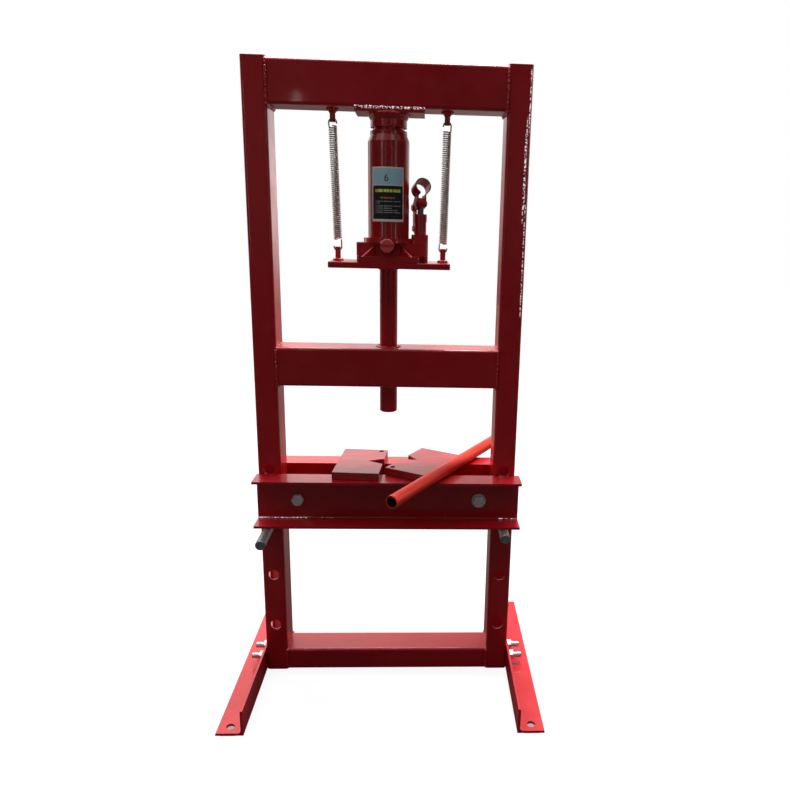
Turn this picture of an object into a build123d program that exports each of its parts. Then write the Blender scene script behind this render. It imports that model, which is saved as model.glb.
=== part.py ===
"""Hydraulic shop press: a welded H-frame with a bottle jack that drives a ram down.

Millimetres, +Z up, front towards -Y. The origin is on the floor, midway between the feet.
"""
import os
from math import cos, radians, sin

from build123d import *

os.makedirs("parts", exist_ok=True)

# ---- Frame ---------------------------------------------------------------------------
frame_height = 1000.0
frame_width = 424.0  # over the outer faces of the uprights
frame_depth = 54.0  # uprights and crossbeams share it
post_width = 37.0
tube_wall = 3.0
tube_corner = 5.0  # outer corner radius of every tube
beam_height = 63.0  # top and middle crossbeams
top_beam_z = 935.0  # underside
mid_beam_z = 515.0  # underside
bottom_beam_height = 39.5

post_x = (frame_width - post_width) / 2
inner_width = frame_width - 2 * post_width

# ---- Height holes and their pins -----------------------------------------------------
hole_pitch = 95.0
hole_first_z = 88.5
hole_count = 4
hole_radius = 9.2
pin_radius = 8.0
pin_length = 180.0
pin_z = hole_first_z + 2 * hole_pitch
pin_front_y = {"left": -110.0, "right": -84.0}

# ---- Feet ----------------------------------------------------------------------------
foot_leg = 43.0  # equal-leg angle
foot_thickness = 4.0
foot_root_radius = 5.0
foot_toe_radius = 2.0
foot_length = 380.0
anchor_x = 235.6
anchor_y = 175.0
anchor_radius = 6.5
foot_bolt_y = 15.8
foot_bolt_z = 20.0
foot_bolt_hole = 5.5

# ---- Bed -----------------------------------------------------------------------------
channel_height = 80.0
channel_flange = 38.0
channel_thickness = 4.0
channel_root = 4.0
bed_length = 433.0
bed_shift = 2.5  # the bed lies this far towards +X
bed_gap = 0.4  # between a channel's back and the uprights
bed_z = pin_z + pin_radius + 0.3  # underside, just above the pins
bed_top_z = bed_z + channel_height
bed_bolt_x = 150.0
bed_bolt_z = 324.5
spacer_radius = 10.0
web_back_y = frame_depth / 2 + bed_gap
web_face_y = web_back_y + channel_thickness

# ---- Press plates and loose handle ---------------------------------------------------
plate_width = 76.0
plate_length = 121.0
plate_thickness = 13.0
notch_width = 26.0
notch_depth = 25.0
plate_hole_radius = 4.3
rest_gap = 0.3  # under each loose piece
bed_hole_radius = 6.5
bed_bolt_radius = 6.0
bed_bolt_flats = 18.0
bed_bolt_head = 7.5
bed_bolt_reach = 18.6  # past the rear web
bed_nut_height = 10.0
bed_washer = (12.0, 2.5)  # radius, thickness
plate_z = bed_top_z + rest_gap
handle_radius = 10.0
handle_wall = 1.8
handle_length = 385.0
handle_turn = 30.5  # degrees away from +Y, towards +X
handle_front = (13.3, -168.0)

# ---- Jack, carrier and ram -----------------------------------------------------------
top_plate_size = (103.0, frame_depth, 6.0)
top_plate_x = 2.5
top_plate_z = top_beam_z - top_plate_size[2]
collar_radius = 27.5
collar_bore = 23.7
collar_z = 910.0
carrier_size = (185.0, 90.0, 9.0)
carrier_x = 3.0
carrier_z = 704.0
carrier_top = carrier_z + carrier_size[2]
press_ram_radius = 14.0
press_ram_tip = 470.0
running_gap = 0.06  # radial clearance of every sliding or turning fit
sleeve_radius = 18.0

base_plate_z = carrier_top + 9.0
base_block_top = 742.0
base_boss_top = 749.0
cylinder_seat_z = 740.0
tank_radius = 31.5
tank_wall = 2.5
tank_shoulder_z = 890.0
tank_neck_radius = 27.5
tank_top = 900.0
nut_top = 905.5
jack_ram_radius = 13.0
cylinder_bore = 15.0
cylinder_radius = 20.0
cylinder_top = 880.0
saddle_z = 906.0
piston_z = 757.0
piston_height = 18.0
seal_height = 5.0
rod_seal_radius = 16.0
filler_z = 870.0
filler_radius = 4.0
label_low_z = 773.5
label_high_z = 852.5
label_half_angle = 47.0
label_thickness = 0.35
valve_z = 738.0
valve_face_y = 51.0
valve_knob_length = 11.0
valve_knob_radius = 10.0
valve_stem_radius = 4.0

stud_radius = 4.25
stud_hole = 2.3
upper_stud_x = (-84.0, 88.0)
lower_stud_x = (-79.0, 85.0)
upper_stud_z = 916.5
lower_stud_top = 734.0
upper_hook_z = 920.0
lower_hook_z = 729.5
spring_radius = 6.75
spring_wire = 0.9  # radius
upper_coil_z = 908.0
lower_coil_z = 744.0
hook_end = -25.0  # degrees, how far past the top each hook goes on

# ---- Pump linkage, in a swing plane turned about the plunger's axis ------------------
pump_x = 49.5
swing_turn = 20.0  # degrees, turns the socket's mouth towards +X
lever_rise = 20.0  # degrees, the socket's mouth stands this far above level at rest
pump_boss_top = 755.0
pump_cylinder_radius = 9.0
pump_cylinder_top = 786.0
plunger_radius = 4.5
plunger_pivot_z = 802.0
fulcrum_arm = 18.0
link_foot = (17.5, 764.0)  # distance behind the plunger's axis, height
rivet_radius = 3.0
socket_height = 21.0  # socket axis above the plunger's pivot
socket_bore = 10.7
socket_radius = 12.5
socket_front = -19.0
socket_back = 3.0
cheek_inner = 5.2
cheek_thickness = 2.0
eye_half = 4.8  # half thickness of the plunger's head
tongue_half = 2.5
strap_inner = 2.8
strap_thickness = 2.0
link_eye = 4.2
rivet_head = 1.8

swing_back = Vector(-sin(radians(swing_turn)), cos(radians(swing_turn)), 0)
swing_axis = Vector(cos(radians(swing_turn)), sin(radians(swing_turn)), 0)
pump_foot = Vector(pump_x, 0, 0)
swing_plane = Plane(origin=pump_foot, x_dir=swing_back, z_dir=swing_axis)
lever_back = swing_back * cos(radians(lever_rise)) - Vector(0, 0, sin(radians(lever_rise)))
lever_plane = Plane(
    origin=pump_foot + Vector(0, 0, plunger_pivot_z), x_dir=lever_back, z_dir=swing_axis
)


def keep(builder, name):
    """Label a finished piece and write it as a STEP file."""
    builder.part.label = name
    export_step(builder.part, f"parts/{name}.step")


def rectangular_tube(plane, centre, width, height, length):
    """A straight tube with rounded corners, its section drawn on a plane."""
    with BuildPart() as tube:
        with BuildSketch(plane):
            with Locations(centre):
                RectangleRounded(width, height, tube_corner)
                RectangleRounded(
                    width - 2 * tube_wall,
                    height - 2 * tube_wall,
                    tube_corner - tube_wall,
                    mode=Mode.SUBTRACT,
                )
        extrude(amount=length)
    return tube.part


# ---- Uprights ------------------------------------------------------------------------
for side, name in ((-1, "left_upright"), (1, "right_upright")):
    with BuildPart() as upright:
        add(rectangular_tube(Plane.XY, (side * post_x, 0), post_width, frame_depth, frame_height))
        with BuildSketch(Plane.XZ):
            for step in range(hole_count):
                with Locations((side * post_x, hole_first_z + step * hole_pitch)):
                    Circle(hole_radius)
        extrude(amount=frame_depth, both=True, mode=Mode.SUBTRACT)
        with BuildSketch(Plane.YZ.offset(side * (frame_width - tube_wall) / 2)):
            with Locations((-foot_bolt_y, foot_bolt_z), (foot_bolt_y, foot_bolt_z)):
                Circle(foot_bolt_hole)
        extrude(amount=tube_wall, both=True, mode=Mode.SUBTRACT)
    keep(upright, name)

# ---- Crossbeams and the sleeve that guides the ram -----------------------------------
beam_plane = Plane.YZ.offset(-inner_width / 2)
for name, low_z, height in (
    ("top_crossbeam", top_beam_z, beam_height),
    ("mid_crossbeam", mid_beam_z, beam_height),
    ("bottom_crossbeam", 0.0, bottom_beam_height),
):
    with BuildPart() as crossbeam:
        add(rectangular_tube(beam_plane, (0, low_z + height / 2), frame_depth, height, inner_width))
        if name == "mid_crossbeam":
            with BuildSketch(Plane.XY.offset(low_z)):
                Circle(sleeve_radius)
            extrude(amount=height, mode=Mode.SUBTRACT)
    keep(crossbeam, name)

with BuildPart() as ram_guide_sleeve:
    with BuildSketch(Plane.XY.offset(mid_beam_z)):
        Circle(sleeve_radius)
        Circle(press_ram_radius + running_gap, mode=Mode.SUBTRACT)
    extrude(amount=beam_height)
keep(ram_guide_sleeve, "ram_guide_sleeve")

# ---- Feet: angle bars bolted to the outside of the uprights --------------------------
for side, name in ((-1, "left_foot"), (1, "right_foot")):
    heel_x = side * frame_width / 2
    with BuildPart() as foot:
        with BuildSketch(Plane.XZ.offset(-foot_length / 2)) as foot_section:
            with BuildLine():
                Polyline(
                    (heel_x, 0),
                    (heel_x + side * foot_leg, 0),
                    (heel_x + side * foot_leg, foot_thickness),
                    (heel_x + side * foot_thickness, foot_thickness),
                    (heel_x + side * foot_thickness, foot_leg),
                    (heel_x, foot_leg),
                    close=True,
                )
            make_face()
            root = (heel_x + side * foot_thickness, foot_thickness)
            fillet(foot_section.vertices().sort_by_distance(root)[0], foot_root_radius)
            for toe in ((heel_x + side * foot_leg, foot_thickness), (heel_x + side * foot_thickness, foot_leg)):
                fillet(foot_section.vertices().sort_by_distance(toe)[0], foot_toe_radius)
        extrude(amount=foot_length)
        with BuildSketch(Plane.XY):
            with Locations((side * anchor_x, -anchor_y), (side * anchor_x, anchor_y)):
                Circle(anchor_radius)
        extrude(amount=foot_thickness, mode=Mode.SUBTRACT)
        with BuildSketch(Plane.YZ.offset(heel_x)):
            with Locations((-foot_bolt_y, foot_bolt_z), (foot_bolt_y, foot_bolt_z)):
                Circle(foot_bolt_hole)
        extrude(amount=foot_thickness * 1.5, both=True, mode=Mode.SUBTRACT)
    keep(foot, name)


# ---- Fasteners -----------------------------------------------------------------------
def hexagon(plane, across_flats, height, bore=0.0):
    """A hexagon head or nut that stands on a plane, its far corners turned off at 30 degrees."""
    with BuildPart() as piece:
        with BuildSketch(plane):
            RegularPolygon(across_flats / 2, 6, major_radius=False)
        extrude(amount=height)
        with Locations(plane):
            Cone(
                0.475 * across_flats + 1.73 * height,
                0.475 * across_flats,
                height,
                align=(Align.CENTER, Align.CENTER, Align.MIN),
                mode=Mode.INTERSECT,
            )
        if bore:
            with BuildSketch(plane):
                Circle(bore)
            extrude(amount=height, mode=Mode.SUBTRACT)
    return piece.part


def ring(plane, outer, inner, height):
    """A washer, sleeve or plain cylinder on a plane."""
    with BuildPart() as piece:
        with BuildSketch(plane):
            Circle(outer)
            if inner:
                Circle(inner, mode=Mode.SUBTRACT)
        extrude(amount=height)
    return piece.part


def bolt(plane, across_flats, head_height, shank_radius, shank_length):
    """A bolt whose head stands on a plane, with its shank running the other way."""
    with BuildPart() as piece:
        add(hexagon(plane, across_flats, head_height))
        add(ring(plane, shank_radius, 0, -shank_length))
        tip = piece.faces().sort_by_distance(plane.origin - plane.z_dir * shank_length)[0]
        chamfer(tip.edges(), shank_radius / 6)
    return piece.part


def foot_bolt_planes(distance, outward):
    """The four foot bolts' axes, on planes at a distance from the frame's middle."""
    return [
        Plane(
            origin=(side * distance, y, foot_bolt_z),
            x_dir=(0, 0, 1),
            z_dir=(side if outward else -side, 0, 0),
        )
        for side in (-1, 1)
        for y in (-foot_bolt_y, foot_bolt_y)
    ]


foot_bolt_radius = 5.0
foot_nut_flats = 16.0
foot_bolt_head = 6.4
foot_bolt_head_flats = 12.4  # turned down to clear the upright's inner corners
foot_bolt_reach = 31.0
foot_nut_height = 8.0
foot_washer = (10.0, 2.0)  # radius, thickness
head_seat = frame_width / 2 - tube_wall
washer_seat = frame_width / 2 + foot_thickness
with BuildPart() as foot_bolts:
    for place in foot_bolt_planes(head_seat, outward=False):
        add(bolt(place, foot_bolt_head_flats, foot_bolt_head, foot_bolt_radius, foot_bolt_reach))
keep(foot_bolts, "foot_bolts")

with BuildPart() as foot_washers:
    for place in foot_bolt_planes(washer_seat, outward=True):
        add(ring(place, foot_washer[0], foot_bolt_radius, foot_washer[1]))
keep(foot_washers, "foot_washers")

with BuildPart() as foot_nuts:
    for place in foot_bolt_planes(washer_seat + foot_washer[1], outward=True):
        add(hexagon(place, foot_nut_flats, foot_nut_height, foot_bolt_radius))
keep(foot_nuts, "foot_nuts")

# ---- Bed: two channels back to back across the uprights ------------------------------
for side, name in ((-1, "bed_front_channel"), (1, "bed_rear_channel")):
    back_y = side * web_back_y
    tip_y = side * (web_back_y + channel_flange)
    inside_y = side * web_face_y
    corners = [
        (back_y, bed_z),
        (tip_y, bed_z),
        (tip_y, bed_z + channel_thickness),
        (inside_y, bed_z + channel_thickness),
        (inside_y, bed_top_z - channel_thickness),
        (tip_y, bed_top_z - channel_thickness),
        (tip_y, bed_top_z),
        (back_y, bed_top_z),
    ]
    with BuildPart() as channel:
        with BuildSketch(Plane.YZ.offset(bed_shift - bed_length / 2)) as channel_section:
            with BuildLine():
                Polyline(*corners, close=True)
            make_face()
            for root in (corners[3], corners[4]):
                fillet(channel_section.vertices().sort_by_distance(root)[0], channel_root)
        extrude(amount=bed_length)
        with BuildSketch(Plane.XZ):
            with Locations((bed_shift - bed_bolt_x, bed_bolt_z), (bed_shift + bed_bolt_x, bed_bolt_z)):
                Circle(bed_hole_radius)
        extrude(amount=-side * 2 * frame_depth, mode=Mode.SUBTRACT)
    keep(channel, name)


def bed_bolt_plane(side, y, towards):
    """A plane on one bed bolt's axis, facing the front or the back."""
    bolt_x = bed_shift + side * bed_bolt_x
    return Plane(origin=(bolt_x, y, bed_bolt_z), x_dir=(1, 0, 0), z_dir=(0, towards, 0))


with BuildPart() as bed_spacers:
    for side in (-1, 1):
        add(ring(bed_bolt_plane(side, -web_back_y, 1), spacer_radius, bed_bolt_radius, 2 * web_back_y))
keep(bed_spacers, "bed_spacers")

with BuildPart() as bed_bolts:
    for side, seat in ((-1, web_face_y), (1, web_face_y + bed_washer[1])):
        place = bed_bolt_plane(side, -seat, -1)
        add(bolt(place, bed_bolt_flats, bed_bolt_head, bed_bolt_radius, seat + web_face_y + bed_bolt_reach))
keep(bed_bolts, "bed_bolts")

with BuildPart() as bed_washers:
    for side, y, towards in ((1, -web_face_y, -1), (-1, web_face_y, 1), (1, web_face_y, 1)):
        add(ring(bed_bolt_plane(side, y, towards), bed_washer[0], bed_bolt_radius, bed_washer[1]))
keep(bed_washers, "bed_washers")

with BuildPart() as bed_nuts:
    for side in (-1, 1):
        place = bed_bolt_plane(side, web_face_y + bed_washer[1], 1)
        add(hexagon(place, bed_bolt_flats, bed_nut_height, bed_bolt_radius))
keep(bed_nuts, "bed_nuts")

# ---- Pins that carry the bed ---------------------------------------------------------
for side, hand in ((-1, "left"), (1, "right")):
    with BuildPart() as bed_pin:
        with BuildSketch(Plane.XZ.offset(-pin_front_y[hand])):
            with Locations((side * post_x, pin_z)):
                Circle(pin_radius)
        extrude(amount=-pin_length)
        chamfer(bed_pin.edges().filter_by(GeomType.CIRCLE), 1.0)
    keep(bed_pin, f"{hand}_bed_pin")

# ---- Loose press plates, each with a V-notch in one long side ------------------------
for name, centre, turn in (
    ("left_press_plate", (-46.5, 5.0), -4.0),
    ("right_press_plate", (59.0, 5.8), 150.0),
):
    plate_plane = Plane(
        origin=(centre[0], centre[1], plate_z),
        x_dir=(cos(radians(turn)), sin(radians(turn)), 0),
        z_dir=(0, 0, 1),
    )
    with BuildPart() as press_plate:
        with BuildSketch(plate_plane):
            Rectangle(plate_width, plate_length)
            with BuildLine():
                Polyline(
                    (plate_width / 2, -notch_width / 2),
                    (plate_width / 2 - notch_depth, 0),
                    (plate_width / 2, notch_width / 2),
                    close=True,
                )
            make_face(mode=Mode.SUBTRACT)
            with Locations((plate_width / 2 - 10, plate_length / 2 - 8)):
                Circle(plate_hole_radius, mode=Mode.SUBTRACT)
        extrude(amount=plate_thickness)
        chamfer(press_plate.edges().filter_by(Plane.XY).filter_by(GeomType.LINE), 0.6)
    keep(press_plate, name)

# ---- Loose pumping handle ------------------------------------------------------------
handle_dir = Vector(sin(radians(handle_turn)), cos(radians(handle_turn)), 0)
handle_start = Vector(handle_front[0], handle_front[1], bed_top_z + rest_gap + handle_radius)
handle_plane = Plane(origin=handle_start, x_dir=(0, 0, 1), z_dir=handle_dir)
with BuildPart() as jack_handle:
    add(ring(handle_plane, handle_radius, handle_radius - handle_wall, handle_length))
keep(jack_handle, "jack_handle")

# ---- Plate and collar under the top crossbeam ----------------------------------------
with BuildPart() as jack_top_plate:
    with BuildSketch(Plane.XY.offset(top_plate_z)):
        with Locations((top_plate_x, 0)):
            Rectangle(top_plate_size[0], top_plate_size[1])
    extrude(amount=top_plate_size[2])
keep(jack_top_plate, "jack_top_plate")

with BuildPart() as jack_collar:
    add(ring(Plane.XY.offset(collar_z), collar_radius, collar_bore, top_plate_z - collar_z))
keep(jack_collar, "jack_collar")


def drilled_studs(stud_x, low_z, high_z, hook_z):
    """A pair of studs, each cross-drilled for a spring's hook."""
    with BuildPart() as studs:
        with BuildSketch(Plane.XY.offset(low_z)):
            with Locations((stud_x[0], 0), (stud_x[1], 0)):
                Circle(stud_radius)
        extrude(amount=high_z - low_z)
        with BuildSketch(Plane.YZ):
            with Locations((0, hook_z)):
                Circle(stud_hole)
        extrude(amount=stud_x[1] + 2 * stud_radius, both=True, mode=Mode.SUBTRACT)
    return studs


keep(drilled_studs(upper_stud_x, upper_stud_z, top_beam_z, upper_hook_z), "upper_spring_studs")
keep(drilled_studs(lower_stud_x, carrier_top, lower_stud_top, lower_hook_z), "lower_spring_studs")


# ---- Return springs: close coils with a hook at each end -----------------------------
def spring_hook(x, coil_z, hook_z):
    """A hook's wire: from inside the coil's rim out past its end, then over through the stud's hole."""
    bend = spring_radius - spring_wire
    sign = 1 if hook_z > coil_z else -1
    centre_z = hook_z - sign * (bend - spring_wire)
    start = (x - bend, 0, coil_z - sign * 2)
    spring_end = (x + bend * cos(radians(hook_end)), 0, centre_z + sign * bend * sin(radians(hook_end)))
    with BuildPart() as hook:
        with BuildLine():
            Line(start, (x - bend, 0, centre_z))
            ThreePointArc((x - bend, 0, centre_z), (x, 0, centre_z + sign * bend), spring_end)
        with BuildSketch(Plane(origin=start, x_dir=(1, 0, 0), z_dir=(0, 0, sign))):
            Circle(spring_wire)
        sweep()
    return hook.part


for top_x, foot_x, name in zip(
    upper_stud_x, lower_stud_x, ("left_return_spring", "right_return_spring")
):
    top = Vector(top_x, 0, upper_coil_z)
    foot_of_coil = Vector(foot_x, 0, lower_coil_z)
    axis_plane = Plane(origin=foot_of_coil, x_dir=(0, 1, 0), z_dir=top - foot_of_coil)
    with BuildPart() as return_spring:
        add(ring(axis_plane, spring_radius, spring_radius - 2 * spring_wire, (top - foot_of_coil).length))
        add(spring_hook(top_x, upper_coil_z, upper_hook_z))
        add(spring_hook(foot_x, lower_coil_z, lower_hook_z))
    keep(return_spring, name)

# ---- Jack ram: fixed under the top plate, its head inside the collar -----------------
with BuildPart() as jack_ram:
    with BuildSketch(Plane.XZ):
        with BuildLine():
            Polyline(
                (0, piston_z),
                (cylinder_bore - running_gap, piston_z),
                (cylinder_bore - running_gap, piston_z + piston_height),
                (jack_ram_radius, piston_z + piston_height),
                (jack_ram_radius, saddle_z),
                (collar_bore - 0.5, saddle_z),
                (collar_bore - 0.5, top_plate_z),
                (0, top_plate_z),
                close=True,
            )
        make_face()
    revolve(axis=Axis.Z)
keep(jack_ram, "jack_ram")

with BuildPart() as piston_seal:
    add(ring(Plane.XY.offset(piston_z - seal_height), cylinder_bore - running_gap, 0, seal_height))
keep(piston_seal, "piston_seal")

# ---- Carrier plate and press ram -----------------------------------------------------
with BuildPart() as carrier_plate:
    with BuildSketch(Plane.XY.offset(carrier_z)):
        with Locations((carrier_x, 0)):
            RectangleRounded(carrier_size[0], carrier_size[1], 3.0)
    extrude(amount=carrier_size[2])
    chamfer(carrier_plate.faces().sort_by(Axis.Z)[-1].edges(), 0.8)
keep(carrier_plate, "carrier_plate")

with BuildPart() as press_ram:
    with BuildSketch(Plane.XY.offset(press_ram_tip)):
        Circle(press_ram_radius)
    extrude(amount=carrier_z - press_ram_tip)
    chamfer(press_ram.edges().sort_by(Axis.Z)[0], 1.5)
keep(press_ram, "press_ram")

# ---- Jack body -----------------------------------------------------------------------
with BuildPart() as jack_base:
    with BuildSketch(Plane.XY.offset(carrier_top)):
        with Locations((1, 0)):
            RectangleRounded(94, 90, 4)
    extrude(amount=base_plate_z - carrier_top)
    with BuildSketch(Plane.XY.offset(base_plate_z)):
        with Locations((6, 0)):
            RectangleRounded(108, 52, 4)
    extrude(amount=base_block_top - base_plate_z)
    with BuildSketch(Plane.XY.offset(base_block_top)):
        Circle(38.5)
    extrude(amount=base_boss_top - base_block_top)
    with BuildSketch(Plane.XY.offset(carrier_top)):
        with Locations((pump_x - 1, 0)):
            RectangleRounded(26, 27, 5)
    extrude(amount=pump_boss_top - carrier_top)
    # two ribs run from the block's front out to the foot plate's front corners
    for side in (-1, 1):
        rib_dir = Vector(side * 18, -19, 0)
        with BuildSketch(Plane(origin=(side * 21, -26, 0), x_dir=rib_dir, z_dir=rib_dir.cross(Vector(0, 0, 1)))):
            with BuildLine():
                Polyline(
                    (-4, base_plate_z),
                    (23, base_plate_z),
                    (-4, base_block_top - 2),
                    close=True,
                )
            make_face()
        extrude(amount=2, both=True)
    # boss around the release valve
    with BuildSketch(Plane.XZ.offset(26)):
        with Locations((0, valve_z)):
            Circle(11)
    extrude(amount=12)
    with BuildSketch(Plane.XZ.offset(38)):
        with Locations((0, valve_z)):
            Circle(valve_stem_radius)
    extrude(amount=-17.5, mode=Mode.SUBTRACT)
    # seats of the two cylinders
    with BuildSketch(Plane.XY.offset(cylinder_seat_z)):
        Circle(cylinder_radius)
        with Locations((pump_x, 0)):
            Circle(pump_cylinder_radius)
    extrude(amount=pump_boss_top - cylinder_seat_z, mode=Mode.SUBTRACT)
    # tongue that holds the link's lower pin
    with BuildSketch(swing_plane):
        with Locations(link_foot):
            Circle(6.5)
        with Locations((link_foot[0], (link_foot[1] + base_plate_z) / 2)):
            Rectangle(13, link_foot[1] - base_plate_z)
    extrude(amount=tongue_half, both=True)
    with BuildSketch(swing_plane):
        with Locations(link_foot):
            Circle(rivet_radius)
    extrude(amount=10, both=True, mode=Mode.SUBTRACT)
keep(jack_base, "jack_base")

with BuildPart() as jack_tank:
    with BuildSketch(Plane.XZ):
        with BuildLine():
            Polyline(
                (tank_radius, base_boss_top),
                (tank_radius, tank_shoulder_z),
                (tank_neck_radius, tank_top),
                (tank_neck_radius - tank_wall, tank_top),
                (tank_neck_radius - tank_wall, tank_shoulder_z + 2),
                (tank_radius - tank_wall, tank_shoulder_z - 2),
                (tank_radius - tank_wall, base_boss_top),
                close=True,
            )
        make_face()
    revolve(axis=Axis.Z)
    with BuildSketch(Plane.XZ):
        with Locations((0, filler_z)):
            Circle(filler_radius)
    extrude(amount=-2 * tank_radius, mode=Mode.SUBTRACT)
keep(jack_tank, "jack_tank")

with BuildPart() as jack_cylinder:
    add(
        ring(
            Plane.XY.offset(cylinder_seat_z),
            cylinder_radius,
            cylinder_bore,
            cylinder_top - cylinder_seat_z,
        )
    )
keep(jack_cylinder, "jack_cylinder")

with BuildPart() as jack_top_nut:
    add(ring(Plane.XY.offset(cylinder_top), tank_neck_radius - tank_wall, 0, tank_top - cylinder_top))
    add(ring(Plane.XY.offset(tank_top), tank_neck_radius + 0.5, 0, nut_top - tank_top))
    chamfer(jack_top_nut.faces().sort_by(Axis.Z)[-1].edges(), 0.8)
    with BuildSketch(Plane.XY.offset(cylinder_top)):
        Circle(jack_ram_radius + running_gap)
    extrude(amount=nut_top - cylinder_top, mode=Mode.SUBTRACT)
    with BuildSketch(Plane.XY.offset(cylinder_top)):
        Circle(rod_seal_radius)
    extrude(amount=seal_height, mode=Mode.SUBTRACT)
keep(jack_top_nut, "jack_top_nut")

with BuildPart() as rod_seal:
    add(ring(Plane.XY.offset(cylinder_top), rod_seal_radius, jack_ram_radius + running_gap, seal_height))
keep(rod_seal, "rod_seal")

with BuildPart() as oil_filler_plug:
    with BuildSketch(Plane.XZ.offset(-(tank_radius - tank_wall))):
        with Locations((0, filler_z)):
            Circle(filler_radius)
    extrude(amount=-tank_wall)
    with BuildSketch(Plane.XZ.offset(-tank_radius)):
        with Locations((0, filler_z)):
            Circle(filler_radius + 2)
    extrude(amount=-3)
    fillet(oil_filler_plug.edges().sort_by(Axis.Y)[-1], 1.2)
keep(oil_filler_plug, "oil_filler_plug")

with BuildPart() as jack_label:
    with BuildSketch(Plane.XY.offset(label_low_z)):
        with BuildLine():
            outer = CenterArc((0, 0), tank_radius + label_thickness, -90 - label_half_angle, 2 * label_half_angle)
            inner = CenterArc((0, 0), tank_radius, -90 - label_half_angle, 2 * label_half_angle)
            Line(outer @ 0, inner @ 0)
            Line(outer @ 1, inner @ 1)
        make_face()
    extrude(amount=label_high_z - label_low_z)
keep(jack_label, "jack_label")

with BuildPart() as release_valve:
    with BuildSketch(Plane.XZ.offset(valve_face_y - valve_knob_length)):
        with Locations((0, valve_z)):
            RegularPolygon(valve_knob_radius, 8, major_radius=False, rotation=22.5)
    extrude(amount=valve_knob_length)
    chamfer(release_valve.faces().sort_by(Axis.Y)[0].edges(), 1.2)
    with BuildSketch(Plane.XZ.offset(valve_face_y)):
        with Locations((0, valve_z)):
            Rectangle(2 * valve_knob_radius + 2, 4)
    extrude(amount=-3, mode=Mode.SUBTRACT)
    with BuildSketch(Plane.XZ.offset(valve_face_y - valve_knob_length)):
        with Locations((0, valve_z)):
            Circle(valve_stem_radius - running_gap)
    extrude(amount=-18)
keep(release_valve, "release_valve")

# ---- Pump: cylinder, plunger, handle socket and link ---------------------------------
pump_plane = Plane(origin=(pump_x, 0, cylinder_seat_z), x_dir=(1, 0, 0), z_dir=(0, 0, 1))
with BuildPart() as pump_cylinder:
    add(ring(pump_plane, pump_cylinder_radius, 0, pump_cylinder_top - cylinder_seat_z))
    add(ring(pump_plane.offset(pump_cylinder_top - cylinder_seat_z - 12), pump_cylinder_radius + 0.8, 0, 12))
    with BuildSketch(pump_plane.offset(6)):
        Circle(plunger_radius + running_gap)
    extrude(amount=pump_cylinder_top - cylinder_seat_z, mode=Mode.SUBTRACT)
keep(pump_cylinder, "pump_cylinder")

with BuildPart() as pump_plunger:
    with BuildSketch(pump_plane.offset(20)):
        Circle(plunger_radius)
    extrude(amount=plunger_pivot_z - 5 - cylinder_seat_z - 20)
    with BuildSketch(swing_plane):
        with Locations((0, plunger_pivot_z)):
            SlotCenterToCenter(3, 11, rotation=90)
        with Locations((0, plunger_pivot_z + 1.5)):
            Circle(7)
        with Locations((0, plunger_pivot_z)):
            Circle(rivet_radius + running_gap, mode=Mode.SUBTRACT)
    extrude(amount=eye_half, both=True)
keep(pump_plunger, "pump_plunger")


def rivet(plane, centre, half_grip):
    """A pin through a joint, with a low head at each end."""
    with BuildPart() as piece:
        with BuildSketch(plane):
            with Locations(centre):
                Circle(rivet_radius)
        extrude(amount=half_grip + rivet_head / 2, both=True)
        for side in (-1, 1):
            with BuildSketch(plane.offset(side * half_grip)):
                with Locations(centre):
                    Circle(1.5 * rivet_radius)
            extrude(amount=side * rivet_head)
    return piece


lever_up = lever_plane.y_dir
socket_plane = Plane(
    origin=lever_plane.origin + lever_up * socket_height + lever_back * socket_front,
    x_dir=swing_axis,
    z_dir=lever_back,
)
with BuildPart() as handle_socket:
    add(ring(socket_plane, socket_radius, 0, socket_back - socket_front))
    for side in (-1, 1):
        with BuildSketch(lever_plane.offset(side * cheek_inner)):
            with Locations((fulcrum_arm / 2, 0)):
                SlotCenterToCenter(fulcrum_arm, 12)
            with BuildLine():
                Polyline((-6, 0), (-9, 14), (socket_back, 14), (fulcrum_arm + 6, 0), close=True)
            make_face()
        extrude(amount=side * cheek_thickness)
    with BuildSketch(socket_plane):
        Circle(socket_bore)
    extrude(amount=socket_back - socket_front, mode=Mode.SUBTRACT)
    # the rolled tube is open underneath, between the cheeks
    with BuildSketch(lever_plane):
        with Locations((0, socket_height / 2)):
            Rectangle(80, socket_height)
    extrude(amount=cheek_inner, both=True, mode=Mode.SUBTRACT)
    with BuildSketch(lever_plane):
        with Locations((0, 0), (fulcrum_arm, 0)):
            Circle(rivet_radius)
    extrude(amount=socket_radius, both=True, mode=Mode.SUBTRACT)
keep(handle_socket, "handle_socket")

keep(rivet(lever_plane, (0, 0), cheek_inner + cheek_thickness), "plunger_pin")
keep(rivet(lever_plane, (fulcrum_arm, 0), cheek_inner + cheek_thickness), "fulcrum_pin")
keep(rivet(swing_plane, link_foot, strap_inner + strap_thickness + 0.3), "link_pin")

link_top = (
    fulcrum_arm * cos(radians(lever_rise)),
    plunger_pivot_z - fulcrum_arm * sin(radians(lever_rise)),
)
with BuildPart() as pump_link:
    for side in (-1, 1):
        with BuildSketch(swing_plane.offset(side * strap_inner)):
            with Locations(link_foot):
                Circle(6)
            with Locations(link_top):
                Circle(7)
            make_hull()
            with Locations(link_foot):
                Circle(rivet_radius + running_gap, mode=Mode.SUBTRACT)
            with Locations(link_top):
                Circle(link_eye, mode=Mode.SUBTRACT)
        extrude(amount=side * strap_thickness)
keep(pump_link, "pump_link")
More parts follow.
